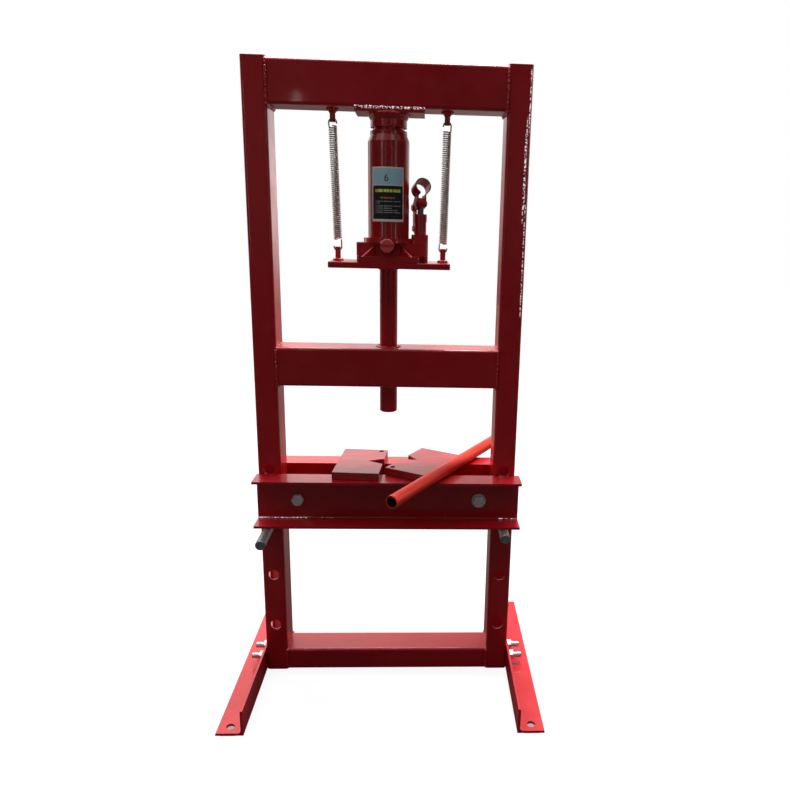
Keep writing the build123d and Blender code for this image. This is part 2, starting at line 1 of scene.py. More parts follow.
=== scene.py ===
# %% [markdown]
# # A small hydraulic shop press
#
# The press is a welded frame of red tube with a bottle jack hung under its top beam. Two springs
# hold the jack and its ram up, and a bed of two steel channels stands on pins. The solid model is
# already built and packed. This lesson keeps its shapes and adds what a solid model lacks: paint
# with depth, weld beads, wound springs, threads, a label, and light that shows them.

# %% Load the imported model
import math

import bmesh
import bpy
from mathutils import Matrix, Vector


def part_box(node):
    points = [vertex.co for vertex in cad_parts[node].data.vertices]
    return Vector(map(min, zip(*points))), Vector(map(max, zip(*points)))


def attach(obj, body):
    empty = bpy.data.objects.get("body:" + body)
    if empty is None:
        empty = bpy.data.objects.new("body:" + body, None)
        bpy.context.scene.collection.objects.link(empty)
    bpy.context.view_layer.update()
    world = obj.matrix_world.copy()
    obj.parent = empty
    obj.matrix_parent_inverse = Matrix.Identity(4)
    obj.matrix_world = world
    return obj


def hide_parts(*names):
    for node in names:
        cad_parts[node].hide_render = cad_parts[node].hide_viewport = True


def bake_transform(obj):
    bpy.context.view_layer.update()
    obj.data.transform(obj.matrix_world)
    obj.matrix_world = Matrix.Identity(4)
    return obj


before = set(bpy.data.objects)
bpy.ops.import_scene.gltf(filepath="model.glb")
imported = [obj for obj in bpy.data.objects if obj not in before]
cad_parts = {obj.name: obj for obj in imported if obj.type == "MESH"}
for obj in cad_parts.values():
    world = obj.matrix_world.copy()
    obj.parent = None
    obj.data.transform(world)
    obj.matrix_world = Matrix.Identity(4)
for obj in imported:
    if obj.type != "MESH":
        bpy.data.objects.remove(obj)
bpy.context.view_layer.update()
MM = 0.001


def middle(node):
    """The centre of a node's box."""
    low, high = (Vector(corner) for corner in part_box(node))
    return (low + high) / 2


# %% [markdown]
# ## Camera
#
# The view comes first, because everything else is judged through it. It stands a little above the
# middle of the press, about a metre in front, and looks down by 14 degrees with a slight roll.
# The press stands a little off the middle of the frame, which a sideways shift of the lens gives.

# %% Camera
def aim(yaw, pitch, roll):
    """A camera rotation from a heading off +Y, a downward pitch and a roll, in degrees."""
    yaw, pitch, roll = (math.radians(angle) for angle in (yaw, pitch, roll))
    ahead = math.cos(pitch)
    forward = Vector((math.sin(yaw) * ahead, math.cos(yaw) * ahead, -math.sin(pitch)))
    level = Vector((math.cos(yaw), -math.sin(yaw), 0))
    up = level.cross(forward)
    right = math.cos(roll) * level + math.sin(roll) * up
    top = -math.sin(roll) * level + math.cos(roll) * up
    return Matrix((right, top, -forward)).transposed()


camera = bpy.data.objects.new("camera", bpy.data.cameras.new("camera"))
camera.data.lens = 31.01
camera.data.sensor_width = 36
camera.data.shift_x = -0.0759
camera.matrix_world = Matrix.Translation((0.05722, -1.09456, 0.76637)) @ aim(2.75, 13.77, 1.44).to_4x4()
bpy.context.collection.objects.link(camera)
bpy.context.scene.camera = camera
print("camera", [round(v, 3) for v in camera.location])

# %% [markdown]
# ## Floor and light
#
# Dark gloss paint looks like what it reflects. The surroundings are therefore bright overhead and
# behind, which gives the upward faces and rounded edges their pale shine, and dim in front, which
# leaves the front faces deep red. Tall narrow lamps to the sides draw upright streaks on the tank.
# The eye itself sees a plain white backdrop: a light-path switch keeps it out of the reflections.

# %% Floor
floor_mesh = bmesh.new()
bmesh.ops.create_grid(floor_mesh, x_segments=8, y_segments=8, size=6)
floor_data = bpy.data.meshes.new("floor")
floor_mesh.to_mesh(floor_data)
floor = bpy.data.objects.new("floor", floor_data)
bpy.context.collection.objects.link(floor)

# %% [markdown]
# ## Surroundings
#
# A workshop has a bright ceiling, a window and dim walls, and gloss paint shows them all. A few
# smooth steps over the direction of view stand for them, so no picture of a room is needed.

# %% World
scene = bpy.context.scene
scene.view_settings.view_transform = "Standard"
world = bpy.data.worlds.new("studio")
scene.world = world
world.use_nodes = True
sky = world.node_tree
sky.nodes.clear()


def sky_node(kind, links=(), **settings):
    """A world node with its links, each a pair of a socket and what feeds it."""
    made = sky.nodes.new(kind)
    for setting, value in settings.items():
        setattr(made, setting, value)
    for socket, source in links:
        if isinstance(source, bpy.types.NodeSocket):
            sky.links.new(source, made.inputs[socket])
        else:
            made.inputs[socket].default_value = source
    return made


def sky_ramp(value, start, end, low, high):
    """Low before start, high after end, and a smooth step between them."""
    links = (
        ("Value", value), ("From Min", start), ("From Max", end), ("To Min", low), ("To Max", high),
    )
    return sky_node("ShaderNodeMapRange", links, interpolation_type="SMOOTHSTEP").outputs["Result"]


def sky_maths(operation, one, two):
    """One arithmetic step on two world values."""
    return sky_node("ShaderNodeMath", ((0, one), (1, two)), operation=operation).outputs[0]


look = sky_node("ShaderNodeTexCoord").outputs["Generated"]
up_and_behind = sky_node(
    "ShaderNodeVectorMath", ((0, look), (1, (0.0, 0.62, 0.78))), operation="DOT_PRODUCT"
).outputs["Value"]
way = sky_node("ShaderNodeSeparateXYZ", ((0, look),)).outputs
bright_back = sky_ramp(up_and_behind, 0.0, 0.78, 0.06, 1.75)
high_window = sky_ramp(way["X"], -0.12, 0.14, 0.85, 0.30)
low_wall = sky_ramp(way["X"], -0.10, 0.14, 0.25, 0.90)
height = sky_ramp(way["Z"], 0.06, 0.28, 0.0, 1.0)
above_floor = sky_ramp(way["Z"], -0.12, 0.03, 0.25, 1.0)
window_over_wall = sky_maths("SUBTRACT", high_window, low_wall)
sideways = sky_maths("ADD", low_wall, sky_maths("MULTIPLY", height, window_over_wall))
shine = sky_maths("MULTIPLY", bright_back, sky_maths("MULTIPLY", sideways, above_floor))
glow = sky_node("ShaderNodeBackground", (("Color", (1.0, 0.955, 0.925, 1)), ("Strength", shine)))
backdrop = sky_node("ShaderNodeBackground", (("Color", (1, 1, 1, 1)), ("Strength", 1.0)))
eye = sky_node("ShaderNodeLightPath").outputs["Is Camera Ray"]
choose = sky_node("ShaderNodeMixShader", ((0, eye), (1, glow.outputs[0]), (2, backdrop.outputs[0])))
sky_node("ShaderNodeOutputWorld", ((0, choose.outputs[0]),))
print("world nodes", len(sky.nodes))


# %% [markdown]
# ## Lamps
#
# A large soft light overhead does most of the work. Tall narrow strips stand round the front, where
# the round tank turns each into an upright streak, and two small hard ones give points of light on
# the springs and the weld beads. They are weak, so they shape the paint without flattening it.

# %% Lamps
def lamp(name, place, target, width, height, watts, tint=(1, 1, 1)):
    """A rectangular soft light that faces a point."""
    light = bpy.data.lights.new(name, "AREA")
    light.shape = "RECTANGLE"
    light.size = width
    light.size_y = height
    light.energy = watts
    light.color = tint
    holder = bpy.data.objects.new(name, light)
    holder.location = place
    holder.rotation_euler = (Vector(target) - Vector(place)).to_track_quat("-Z", "Y").to_euler()
    bpy.context.collection.objects.link(holder)


def upright_strip(name, azimuth, distance, low, high, width, watts):
    """A tall narrow lamp round the press; the azimuth is in degrees from the front towards +X."""
    angle = math.radians(azimuth)
    x, y = distance * math.sin(angle), -distance * math.cos(angle)
    height = (low + high) / 2
    lamp(name, (x, y, height), (0, 0, height), width, high - low, watts, (1.0, 0.95, 0.93))


lamp("overhead", (0.1, 0.75, 2.6), (0, 0.1, 0.3), 2.2, 1.3, 78)
lamp("foot_light", (0.3, 0.35, 2.2), (0.22, 0, 0.0), 0.4, 0.4, 16)
upright_strip("strip_back_left", -130, 2.6, 0.4, 1.5, 0.30, 3.0)
upright_strip("strip_left", -34, 1.7, 0.65, 1.25, 0.05, 0.7)
upright_strip("strip_near_left", -14, 1.8, 0.65, 1.25, 0.03, 0.22)
upright_strip("strip_near_right", 19, 1.8, 0.65, 1.25, 0.03, 0.25)
upright_strip("strip_right", 42, 1.7, 0.65, 1.25, 0.05, 0.6)
upright_strip("strip_far_right", 99, 1.8, 0.75, 1.9, 0.22, 4.5)
lamp("spark_right", (0.55, -0.9, 2.3), (0, 0, 0.8), 0.05, 0.05, 2.0)
lamp("spark_left", (-0.75, -0.7, 2.1), (0, 0, 0.8), 0.05, 0.05, 1.4)

# %% [markdown]
# ## Writing a finish as arithmetic
#
# A finish is mostly arithmetic on textures: some noise here, a threshold there, more roughness
# where the dust lies. One small class wraps a socket so that `1 - mask * 0.4` adds its Math nodes,
# and one method adds any other node.

# %% Signals and finishes
class Signal:
    """A shader socket that takes part in Python arithmetic."""

    def __init__(self, finish, socket):
        self.finish = finish
        self.socket = socket

    def maths(self, operation, *others, clamp=False):
        settings = {"operation": operation, "use_clamp": clamp}
        values = dict(enumerate((self, *others)))
        return self.finish.node("ShaderNodeMath", settings, values)

    def __add__(self, other):
        return self.maths("ADD", other)

    __radd__ = __add__

    def __mul__(self, other):
        return self.maths("MULTIPLY", other)

    __rmul__ = __mul__

    def __sub__(self, other):
        return self.maths("SUBTRACT", other)

    def __rsub__(self, other):
        return (self * -1) + other

    def above(self, edge, softness=0.0):
        """1 where the value passes an edge, with a soft shoulder if one is given."""
        if not softness:
            return self.maths("GREATER_THAN", edge)
        return ((self - (edge - softness)) * (0.5 / softness)).maths("ADD", 0.0, clamp=True)

    def between(self, low, high):
        return self.above(low) * (1 - self.above(high))


class Finish:
    """A material around one Principled shader, with its fixed sockets set by name."""

    def __init__(self, name, **fixed):
        self.name = name
        self.material = bpy.data.materials.new(name)
        self.material.use_nodes = True
        self.tree = self.material.node_tree
        self.tree.nodes.clear()
        self.shader = self.tree.nodes.new("ShaderNodeBsdfPrincipled")
        output = self.tree.nodes.new("ShaderNodeOutputMaterial")
        self.tree.links.new(self.shader.outputs["BSDF"], output.inputs["Surface"])
        for socket, value in fixed.items():
            self.shader.inputs[socket.replace("_", " ")].default_value = value

    def node(self, kind, settings=None, values=None, out=0):
        """Add a node: its settings first, then its sockets, each a value or a link."""
        made = self.tree.nodes.new(kind)
        for setting, value in (settings or {}).items():
            if setting == "stops":
                ramp_ends = made.color_ramp.elements
                while len(ramp_ends) < len(value):
                    ramp_ends.new(1.0)
                for stop, (position, colour) in zip(ramp_ends, value):
                    stop.position = position
                    stop.color = (*colour, 1)
            else:
                setattr(made, setting, value)
        for socket, value in (values or {}).items():
            self.join(value, made.inputs[socket])
        return Signal(self, made.outputs[out])

    def join(self, value, socket):
        if isinstance(value, Signal):
            self.tree.links.new(value.socket, socket)
        elif isinstance(value, tuple) and len(value) == 3 and socket.type == "RGBA":
            socket.default_value = (*value, 1)
        else:
            socket.default_value = value

    def drive(self, socket, value):
        """Let a signal feed one of the shader's own sockets."""
        self.join(value, self.shader.inputs[socket])

    def where(self):
        return self.node("ShaderNodeTexCoord", out="Object")

    def cloud(self, scale, detail=2.0, stretch=(1, 1, 1), rough=0.5):
        """Noise from 0 to 1; scale is in features per metre."""
        place = self.node("ShaderNodeMapping", None, {"Vector": self.where(), "Scale": stretch})
        values = {"Vector": place, "Scale": scale, "Detail": detail, "Roughness": rough}
        return self.node("ShaderNodeTexNoise", {"noise_dimensions": "3D"}, values, out="Fac")

    def cells(self, scale):
        """Distance from scattered points, for specks and pits."""
        values = {"Vector": self.where(), "Scale": scale}
        return self.node("ShaderNodeTexVoronoi", None, values, out="Distance")

    def mix(self, mask, low, high):
        """One colour below a mask and another above it."""
        return self.node("ShaderNodeMix", {"data_type": "RGBA"}, {0: mask, 6: low, 7: high}, out=2)

    def axis(self, letter):
        """One coordinate in metres."""
        return self.node("ShaderNodeSeparateXYZ", None, {0: self.where()}, out="XYZ".index(letter))

    def bumps(self, height, depth):
        """A relief in metres on the surface."""
        self.drive("Normal", self.node("ShaderNodeBump", None, {"Height": height, "Distance": depth}))


finishes = {}


def keep_finish(finish):
    finishes[finish.name] = finish.material
    print("finish", finish.name, "nodes", len(finish.tree.nodes))


# %% [markdown]
# ## Red enamel
#
# Frame, jack and handle are all sprayed red, in one or two thin coats over mill scale. Up close
# the film has an orange-peel ripple about a millimetre across, drifts between deeper and brighter
# red, gathers fine dust, and carries small nibs where grit fell in. The handle is another batch,
# closer to orange. One function with a few numbers makes the whole family. The press plates are
# rubbed darker in streaks, where work has been dragged over them.

# %% Enamels
def enamel(name, deep, bright, peel=0.00006, nibs=0.035, cast=0.0, dust=0.1, coat=0.5):
    """Sprayed enamel. Cast adds the skin of a sand casting below the film."""
    paint = Finish(name, Coat_Weight=coat, Coat_Roughness=0.06, Coat_IOR=1.5, Specular_IOR_Level=0.4)
    drift = paint.cloud(5.0, 3.0)
    streaks = paint.cloud(14.0, 4.0, stretch=(1, 1, 0.12))
    body = paint.mix((drift * 0.6 + streaks * 0.4).above(0.5, 0.22), deep, bright)
    scuff = paint.cloud(60.0, 6.0, stretch=(1, 0.2, 0.2), rough=0.7).above(0.69, 0.02)
    dusty = paint.cloud(22.0, 6.0, rough=0.7).above(0.62, 0.16)
    pale = tuple(min(1.0, channel * 1.4 + 0.035) for channel in bright)
    paint.drive("Base Color", paint.mix(dusty * dust + scuff * 0.35, body, pale))
    paint.drive("Roughness", 0.26 + drift * 0.10 + dusty * 0.20 + scuff * 0.15)
    ripple = paint.cloud(620.0, 2.0)
    grit = 1 - paint.cells(150.0).above(nibs, 0.03)
    skin = paint.cloud(260.0, 4.0, rough=0.65)
    paint.bumps(ripple * 0.5 + grit * 1.2 + skin * cast, peel)
    keep_finish(paint)
    return paint


enamel("frame_enamel", (0.350, 0.0030, 0.0090), (0.500, 0.0055, 0.0150))
enamel("foot_enamel", (0.560, 0.010, 0.018), (0.720, 0.018, 0.030), dust=0.2)
plates = enamel("plate_enamel", (0.260, 0.008, 0.013), (0.420, 0.015, 0.022), cast=1.6, dust=0.6)
wiped = plates.cloud(38.0, 5.0, stretch=(0.35, 2.2, 1), rough=0.7).above(0.56, 0.10)
plate_paint = Signal(plates, plates.shader.inputs["Base Color"].links[0].from_socket)
plates.drive("Base Color", plates.mix(wiped * 0.7, plate_paint, (0.10, 0.012, 0.014)))
enamel("jack_enamel", (0.270, 0.0030, 0.006), (0.400, 0.005, 0.010), peel=0.00003)
enamel("casting_enamel", (0.330, 0.004, 0.008), (0.500, 0.008, 0.014), cast=4.0)
enamel("knob_enamel", (0.700, 0.060, 0.080), (0.850, 0.120, 0.140), cast=2.0)
enamel("weld_enamel", (0.400, 0.003, 0.009), (0.580, 0.007, 0.015), cast=1.5, coat=0.8)

# %% [markdown]
# ## Handle enamel
#
# The handle is a length of open tube, and the spray reached only its outside. The inside of the
# tube is painted near black as painted shade, and its distance from the tube's own centre line
# tells it from the paint, so one finish serves both.

# %% Handle enamel, with painted shade inside the tube
tube = enamel("handle_enamel", (0.640, 0.020, 0.008), (0.840, 0.042, 0.016), peel=0.00003, coat=0.0)
lie = math.radians(30.5)  # how far the handle is turned from straight back
tube_way = (math.sin(lie), math.cos(lie), 0)
tube_middle = tuple(middle("jack_handle"))
BORE = 8.3 * MM  # just over the radius of the hollow


def tube_vector(operation, values, out=0):
    """One vector step in the handle's finish."""
    return tube.node("ShaderNodeVectorMath", {"operation": operation}, values, out=out)


apart = tube_vector("SUBTRACT", {0: tube.where(), 1: tube_middle})
from_axis = tube_vector("CROSS_PRODUCT", {0: apart, 1: tube_way})
# Near black inside the tube: painted shade, the shade deep in an open tube.
bore_painted_shade = 1 - tube_vector("LENGTH", {0: from_axis}, out="Value").above(BORE)
sprayed_tube = Signal(tube, tube.shader.inputs["Base Color"].links[0].from_socket)
tube.drive("Base Color", tube.mix(bore_painted_shade, sprayed_tube, (0.012, 0.009, 0.009)))

# %% [markdown]
# ## Post enamel
#
# The uprights are tube with height holes drilled through both walls. The cut edge of each hole
# is painted pale pink, a painted highlight, and through the lower holes of the left post the far
# inner wall glows pale pink, a painted highlight. The finish works out from the place in the tube
# which surface it is on, and a weak glow stands for the light that bounces about inside, which
# few rays would find.

# %% Post enamel, with painted light inside the tube and painted highlights on its hole edges
post = enamel("post_enamel", (0.380, 0.0030, 0.0080), (0.540, 0.0055, 0.0130))
post_low, post_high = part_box("right_upright")
post_middle, post_half = (post_low.x + post_high.x) / 2, (post_high.x - post_low.x) / 2
across = (post.axis("X").maths("ABSOLUTE") - post_middle).maths("ABSOLUTE")
deep_in = post.axis("Y").maths("ABSOLUTE")
SKIN = 2.7 * MM  # a little less than the tube's wall
NEAR_HOLE = 11 * MM
within = 1 - across.above(post_half - SKIN)
lining = within * (1 - deep_in.above(post_high.y - SKIN))
rim = deep_in.between(post_high.y - 2.9 * MM, post_high.y - 0.05 * MM)
# Pale pink on the cut edges of the holes: a painted highlight.
cut_edge_painted_highlight = (1 - across.above(NEAR_HOLE)) * rim
painted = Signal(post, post.shader.inputs["Base Color"].links[0].from_socket)
post.drive("Base Color", post.mix(cut_edge_painted_highlight, painted, (0.85, 0.42, 0.42)))
# A pale pink glow on the far wall inside the left post's lower holes: a painted highlight.
far_wall_painted_glow = lining * across.above(post_half - 3.4 * MM) * (1 - post.axis("X").above(-post_middle))
far_wall_painted_glow = far_wall_painted_glow * (1 - post.axis("Y").above(13 * MM)) * (1 - post.axis("Z").above(0.30))
glimmer = post.mix(lining, (0, 0, 0), (0.045, 0.0010, 0.0022))
post.drive("Emission Color", post.mix(far_wall_painted_glow, glimmer, (0.62, 0.38, 0.38)))
post.shader.inputs["Emission Strength"].default_value = 1.0

# %% [markdown]
# ## Bare metals
#
# Zinc plate is a bluish white with a fine mottled spangle; it goes dull and grey in the hollows of
# a nut. The bed pins are plain dark steel with fine turning marks. The springs are pale drawn
# wire. The plunger and the jack's ram are bare only in their stroke: above a height they carry the
# red overspray of their surroundings.

# %% Metals
def metal(
    name, dark, light, roughness, grain=400.0, stretch=(1, 1, 1), relief=0.00002, red_above=None,
    metallic=1.0,
):
    """Bare or plated steel, mottled between two tones; it can be sprayed red above a height."""
    steel = Finish(name, Metallic=metallic)
    mottle = steel.cloud(170.0, 4.0, rough=0.6)
    lines = steel.cloud(grain, 3.0, stretch=stretch)
    grime = steel.cloud(35.0, 5.0, rough=0.7).above(0.60, 0.12)
    tone = steel.mix(mottle.above(0.5, 0.25), dark, light)
    shade = tuple(channel * 0.45 for channel in dark)
    tone = steel.mix(grime * 0.5, tone, shade)
    if red_above:
        sprayed = steel.axis("Z").above(red_above, 0.0004)
        tone = steel.mix(sprayed, tone, (0.46, 0.006, 0.012))
        steel.drive("Metallic", 1 - sprayed)
    steel.drive("Base Color", tone)
    steel.drive("Roughness", roughness + lines * 0.14 + grime * 0.18)
    steel.bumps(lines + mottle * 0.4, relief)
    keep_finish(steel)


metal("bright_zinc", (0.50, 0.52, 0.55), (0.82, 0.83, 0.84), 0.26, metallic=0.8)
metal("dull_zinc", (0.58, 0.63, 0.63), (0.97, 0.99, 0.98), 0.22, metallic=0.2)
metal("pin_steel", (0.20, 0.195, 0.20), (0.34, 0.33, 0.34), 0.24, 900.0, (0.1, 1, 0.1), metallic=0.6)
metal("spring_wire", (0.55, 0.55, 0.52), (0.90, 0.91, 0.88), 0.22, 500.0, metallic=0.72)
metal("plunger_steel", (0.10, 0.10, 0.11), (0.20, 0.20, 0.21), 0.30, 900.0, (0.1, 0.1, 1), red_above=0.797)
metal("turned_steel", (0.36, 0.36, 0.37), (0.60, 0.60, 0.61), 0.24, 900.0, (0.1, 0.1, 1))
metal(
    "hard_chrome", (0.62, 0.63, 0.64), (0.80, 0.81, 0.82), 0.10, 900.0, (0.1, 0.1, 1), 0.000004,
    red_above=0.9055,
)

# %% [markdown]
# ## Rubber
#
# Seals and the filler plug are black moulded rubber. It is matt, with a grey bloom in patches.

# %% Rubber
rubber = Finish("seal_rubber", Specular_IOR_Level=0.35)
bloom = rubber.cloud(90.0, 4.0)
rubber.drive("Base Color", rubber.mix(bloom.above(0.55, 0.2), (0.018, 0.018, 0.019), (0.040, 0.040, 0.042)))
rubber.drive("Roughness", 0.55 + bloom * 0.25)
rubber.bumps(rubber.cloud(900.0, 2.0), 0.00003)
keep_finish(rubber)

# %% [markdown]
# ## Pale floor
#
# The press stands on a plain white sweep. Seen directly the floor is nearly white, with shade only
# under the anchor holes, where a white floor would shine through. In the paint it is nearly black,
# apart from a warm patch far behind, so the undersides stay deep red.

# %% Pale floor
paper = Finish("pale_floor")
paper_cloud = paper.cloud(3.0, 3.0)
seen = paper.node("ShaderNodeLightPath", out="Is Camera Ray")
lit_paper = paper.mix(paper_cloud, (0.13, 0.13, 0.13), (0.15, 0.15, 0.15))
paper.drive("Base Color", paper.mix(seen, (0.02, 0.02, 0.02), lit_paper))
paper.drive("Roughness", 0.85 + paper_cloud * 0.1)
far_back = paper.axis("Y").above(0.55, 0.45)
mirrored = paper.mix(far_back, (0.004, 0.004, 0.004), (0.22, 0.17, 0.14))
ANCHOR_X, ANCHOR_Y = 0.2356, 0.175
hole_x = 1 - (paper.axis("X").maths("ABSOLUTE") - ANCHOR_X).maths("ABSOLUTE").above(0.012)
hole_y = 1 - (paper.axis("Y").maths("ABSOLUTE") - ANCHOR_Y).maths("ABSOLUTE").above(0.016)
lit_floor = paper.mix(hole_x * hole_y, (0.89, 0.89, 0.89), (0.30, 0.27, 0.27))
paper.drive("Emission Color", paper.mix(seen, mirrored, lit_floor))
paper.shader.inputs["Emission Strength"].default_value = 1.0
keep_finish(paper)
floor.data.materials.append(finishes["pale_floor"])

# %% [markdown]
# ## Dressing the solid parts
#
# A part whose solid shape is already right only needs its finish. Each node is given one by name,
# and whatever is left over is printed. The label is left for its own film further down.

# %% Finishes for the nodes
dress = {
    "post_enamel": ["left_upright", "right_upright"],
    "frame_enamel": [
        "top_crossbeam", "mid_crossbeam", "bottom_crossbeam", "jack_top_plate", "bed_front_channel",
        "bed_rear_channel", "carrier_plate", "jack_collar", "upper_spring_studs", "lower_spring_studs",
        "bed_spacers", "press_ram",
    ],
    "foot_enamel": ["left_foot", "right_foot"],
    "plate_enamel": ["left_press_plate", "right_press_plate"],
    "jack_enamel": [
        "jack_tank", "pump_cylinder", "handle_socket", "pump_link", "jack_top_nut", "plunger_pin",
        "fulcrum_pin", "link_pin",
    ],
    "casting_enamel": ["jack_base"],
    "knob_enamel": ["release_valve"],
    "handle_enamel": ["jack_handle"],
    "bright_zinc": ["foot_bolts", "foot_washers", "foot_nuts"],
    "dull_zinc": ["bed_bolts", "bed_washers", "bed_nuts"],
    "pin_steel": ["left_bed_pin", "right_bed_pin"],
    "turned_steel": ["jack_cylinder", "ram_guide_sleeve"],
    "plunger_steel": ["pump_plunger"],
    "hard_chrome": ["jack_ram"],
    "seal_rubber": ["piston_seal", "rod_seal", "oil_filler_plug"],
    "spring_wire": ["left_return_spring", "right_return_spring"],
}
for finish_name, members in dress.items():
    for member in members:
        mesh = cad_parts[member].data
        mesh.materials.clear()
        mesh.materials.append(finishes[finish_name])
dressed = {member for members in dress.values() for member in members}
print("undressed", sorted(set(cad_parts) - dressed))

# %% Helpers that make pieces
def piece(name, mesh, body, finish):
    """A finished mesh at the origin, riding on a body if one is given."""
    made = bpy.data.objects.new(name, mesh)
    bpy.context.collection.objects.link(made)
    mesh.materials.clear()
    mesh.materials.append(finishes[finish])
    if body:
        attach(made, body)
    print("piece", name, "faces", len(mesh.polygons))
    return made


def settled(made):
    """The evaluated shape of an object as a plain mesh, with its place in the mesh."""
    graph = bpy.context.evaluated_depsgraph_get()
    shape = bpy.data.meshes.new_from_object(made.evaluated_get(graph), depsgraph=graph)
    shape.transform(made.matrix_world)
    return shape


def smooth(mesh, angle=40):
    """Smooth faces, with an edge kept sharp where it turns by more than an angle."""
    work = bmesh.new()
    work.from_mesh(mesh)
    bmesh.ops.remove_doubles(work, verts=work.verts, dist=1e-6)
    for face in work.faces:
        face.smooth = True
    for edge in work.edges:
        if len(edge.link_faces) == 2:
            edge.smooth = edge.calc_face_angle(0.0) < math.radians(angle)
    work.to_mesh(mesh)
    work.free()
    return mesh


def turned(profile, centre, steps=48):
    """A closed shape turned about an upright axis; the profile is (radius, height) pairs in mm."""
    work = bmesh.new()
    rings = []
    for step in range(steps):
        angle = 2 * math.pi * step / steps
        ring = [
            work.verts.new((r * MM * math.cos(angle), r * MM * math.sin(angle), h * MM)) for r, h in profile
        ]
        rings.append(ring)
    count = len(profile)
    for step in range(steps):
        near, far = rings[step], rings[(step + 1) % steps]
        for i in range(count):
            j = (i + 1) % count
            work.faces.new((near[i], far[i], far[j], near[j]))
    bmesh.ops.recalc_face_normals(work, faces=work.faces)
    work.transform(Matrix.Translation(centre))
    shape = bpy.data.meshes.new("turned")
    work.to_mesh(shape)
    work.free()
    return smooth(shape)


# %% [markdown]
# ## Geometry Nodes in a few words
#
# A tree is a recipe: named inputs come in, geometry goes out. Two recipes are enough here. One
# winds wire into a spring. The other lays a weld bead: it walks along a line, drops a flattened
# blob every few millimetres, turns and sizes each a little differently, and joins them.

# %% A small tree builder
class Recipe:
    """A Geometry Nodes tree with named inputs."""

    def __init__(self, name, inputs):
        self.tree = bpy.data.node_groups.new(name, "GeometryNodeTree")
        face = self.tree.interface
        face.new_socket("Geometry", in_out="INPUT", socket_type="NodeSocketGeometry")
        for label, kind in inputs.items():
            face.new_socket(label, in_out="INPUT", socket_type=f"NodeSocket{kind}")
        face.new_socket("Geometry", in_out="OUTPUT", socket_type="NodeSocketGeometry")
        self.source = self.tree.nodes.new("NodeGroupInput")
        self.result = self.tree.nodes.new("NodeGroupOutput")

    def given(self, label):
        return self.source.outputs[label]

    def add(self, kind, values=None, **settings):
        made = self.tree.nodes.new(kind)
        for setting, value in settings.items():
            setattr(made, setting, value)
        for socket, value in (values or {}).items():
            if isinstance(value, bpy.types.NodeSocket):
                self.tree.links.new(value, made.inputs[socket])
            else:
                made.inputs[socket].default_value = value
        return made.outputs[0]

    def finish(self, geometry):
        real = self.add("GeometryNodeRealizeInstances", {0: geometry})
        coated = self.add("GeometryNodeSetMaterial", {"Geometry": real, "Material": self.given("Material")})
        self.tree.links.new(coated, self.result.inputs[0])

    def cook(self, host, values):
        """Run the recipe on an object and return the plain mesh it makes."""
        modifier = host.modifiers.new("recipe", "NODES")
        modifier.node_group = self.tree
        for item in self.tree.interface.items_tree:
            if item.in_out == "INPUT" and item.name in values:
                modifier[item.identifier] = values[item.name]
        bpy.context.collection.objects.link(host)
        bpy.context.view_layer.update()
        shape = settled(host)
        host.modifiers.remove(modifier)
        bpy.data.objects.remove(host)
        return shape


def line_object(points, closed=False):
    """A polyline curve to run a recipe along."""
    data = bpy.data.curves.new("path", "CURVE")
    data.dimensions = "3D"
    spline = data.splines.new("POLY")
    spline.points.add(len(points) - 1)
    for point, place in zip(spline.points, points):
        point.co = (*place, 1)
    spline.use_cyclic_u = closed
    return bpy.data.objects.new("path", data)


# %% Recipe: wound wire
wound_wire = Recipe("wound_wire", {
    "Turns": "Float", "Coil Radius": "Float", "Length": "Float", "Wire Radius": "Float",
    "Material": "Material",
})
helix = wound_wire.add("GeometryNodeCurveSpiral", {
    "Resolution": 20,
    "Rotations": wound_wire.given("Turns"),
    "Start Radius": wound_wire.given("Coil Radius"),
    "End Radius": wound_wire.given("Coil Radius"),
    "Height": wound_wire.given("Length"),
})
wire_section = wound_wire.add(
    "GeometryNodeCurvePrimitiveCircle", {"Resolution": 8, "Radius": wound_wire.given("Wire Radius")}
)
wire = wound_wire.add(
    "GeometryNodeCurveToMesh", {"Curve": helix, "Profile Curve": wire_section, "Fill Caps": True}
)
wound_wire.finish(wound_wire.add("GeometryNodeSetShadeSmooth", {0: wire}))

# %% Recipe: weld bead
weld_bead = Recipe("weld_bead", {
    "Spacing": "Float", "Width": "Float", "Height": "Float", "Seed": "Int", "Material": "Material",
})
walk = weld_bead.tree.nodes.new("GeometryNodeCurveToPoints")
walk.mode = "LENGTH"
weld_bead.tree.links.new(weld_bead.source.outputs["Geometry"], walk.inputs["Curve"])
weld_bead.tree.links.new(weld_bead.given("Spacing"), walk.inputs["Length"])
blob = weld_bead.add("GeometryNodeMeshIcoSphere", {"Radius": 1.0, "Subdivisions": 2})
blob_size = weld_bead.add("ShaderNodeCombineXYZ", {
    0: weld_bead.given("Height"), 1: weld_bead.given("Width"), 2: weld_bead.given("Spacing"),
})
vary = weld_bead.add("FunctionNodeRandomValue", {
    "Seed": weld_bead.given("Seed"),
}, data_type="FLOAT_VECTOR")
vary_node = vary.node
vary_node.inputs[0].default_value = (0.62, 0.70, 1.1)
vary_node.inputs[1].default_value = (1.22, 1.15, 1.5)
sized = weld_bead.add("ShaderNodeVectorMath", {0: blob_size, 1: vary}, operation="MULTIPLY")
laid = weld_bead.add("GeometryNodeInstanceOnPoints", {
    "Points": walk.outputs["Points"], "Instance": blob, "Rotation": walk.outputs["Rotation"], "Scale": sized,
})
weld_real = weld_bead.add("GeometryNodeRealizeInstances", {0: laid})
weld_bead.finish(weld_bead.add("GeometryNodeSetShadeSmooth", {0: weld_real}))
print("recipes", wound_wire.tree.name, weld_bead.tree.name)
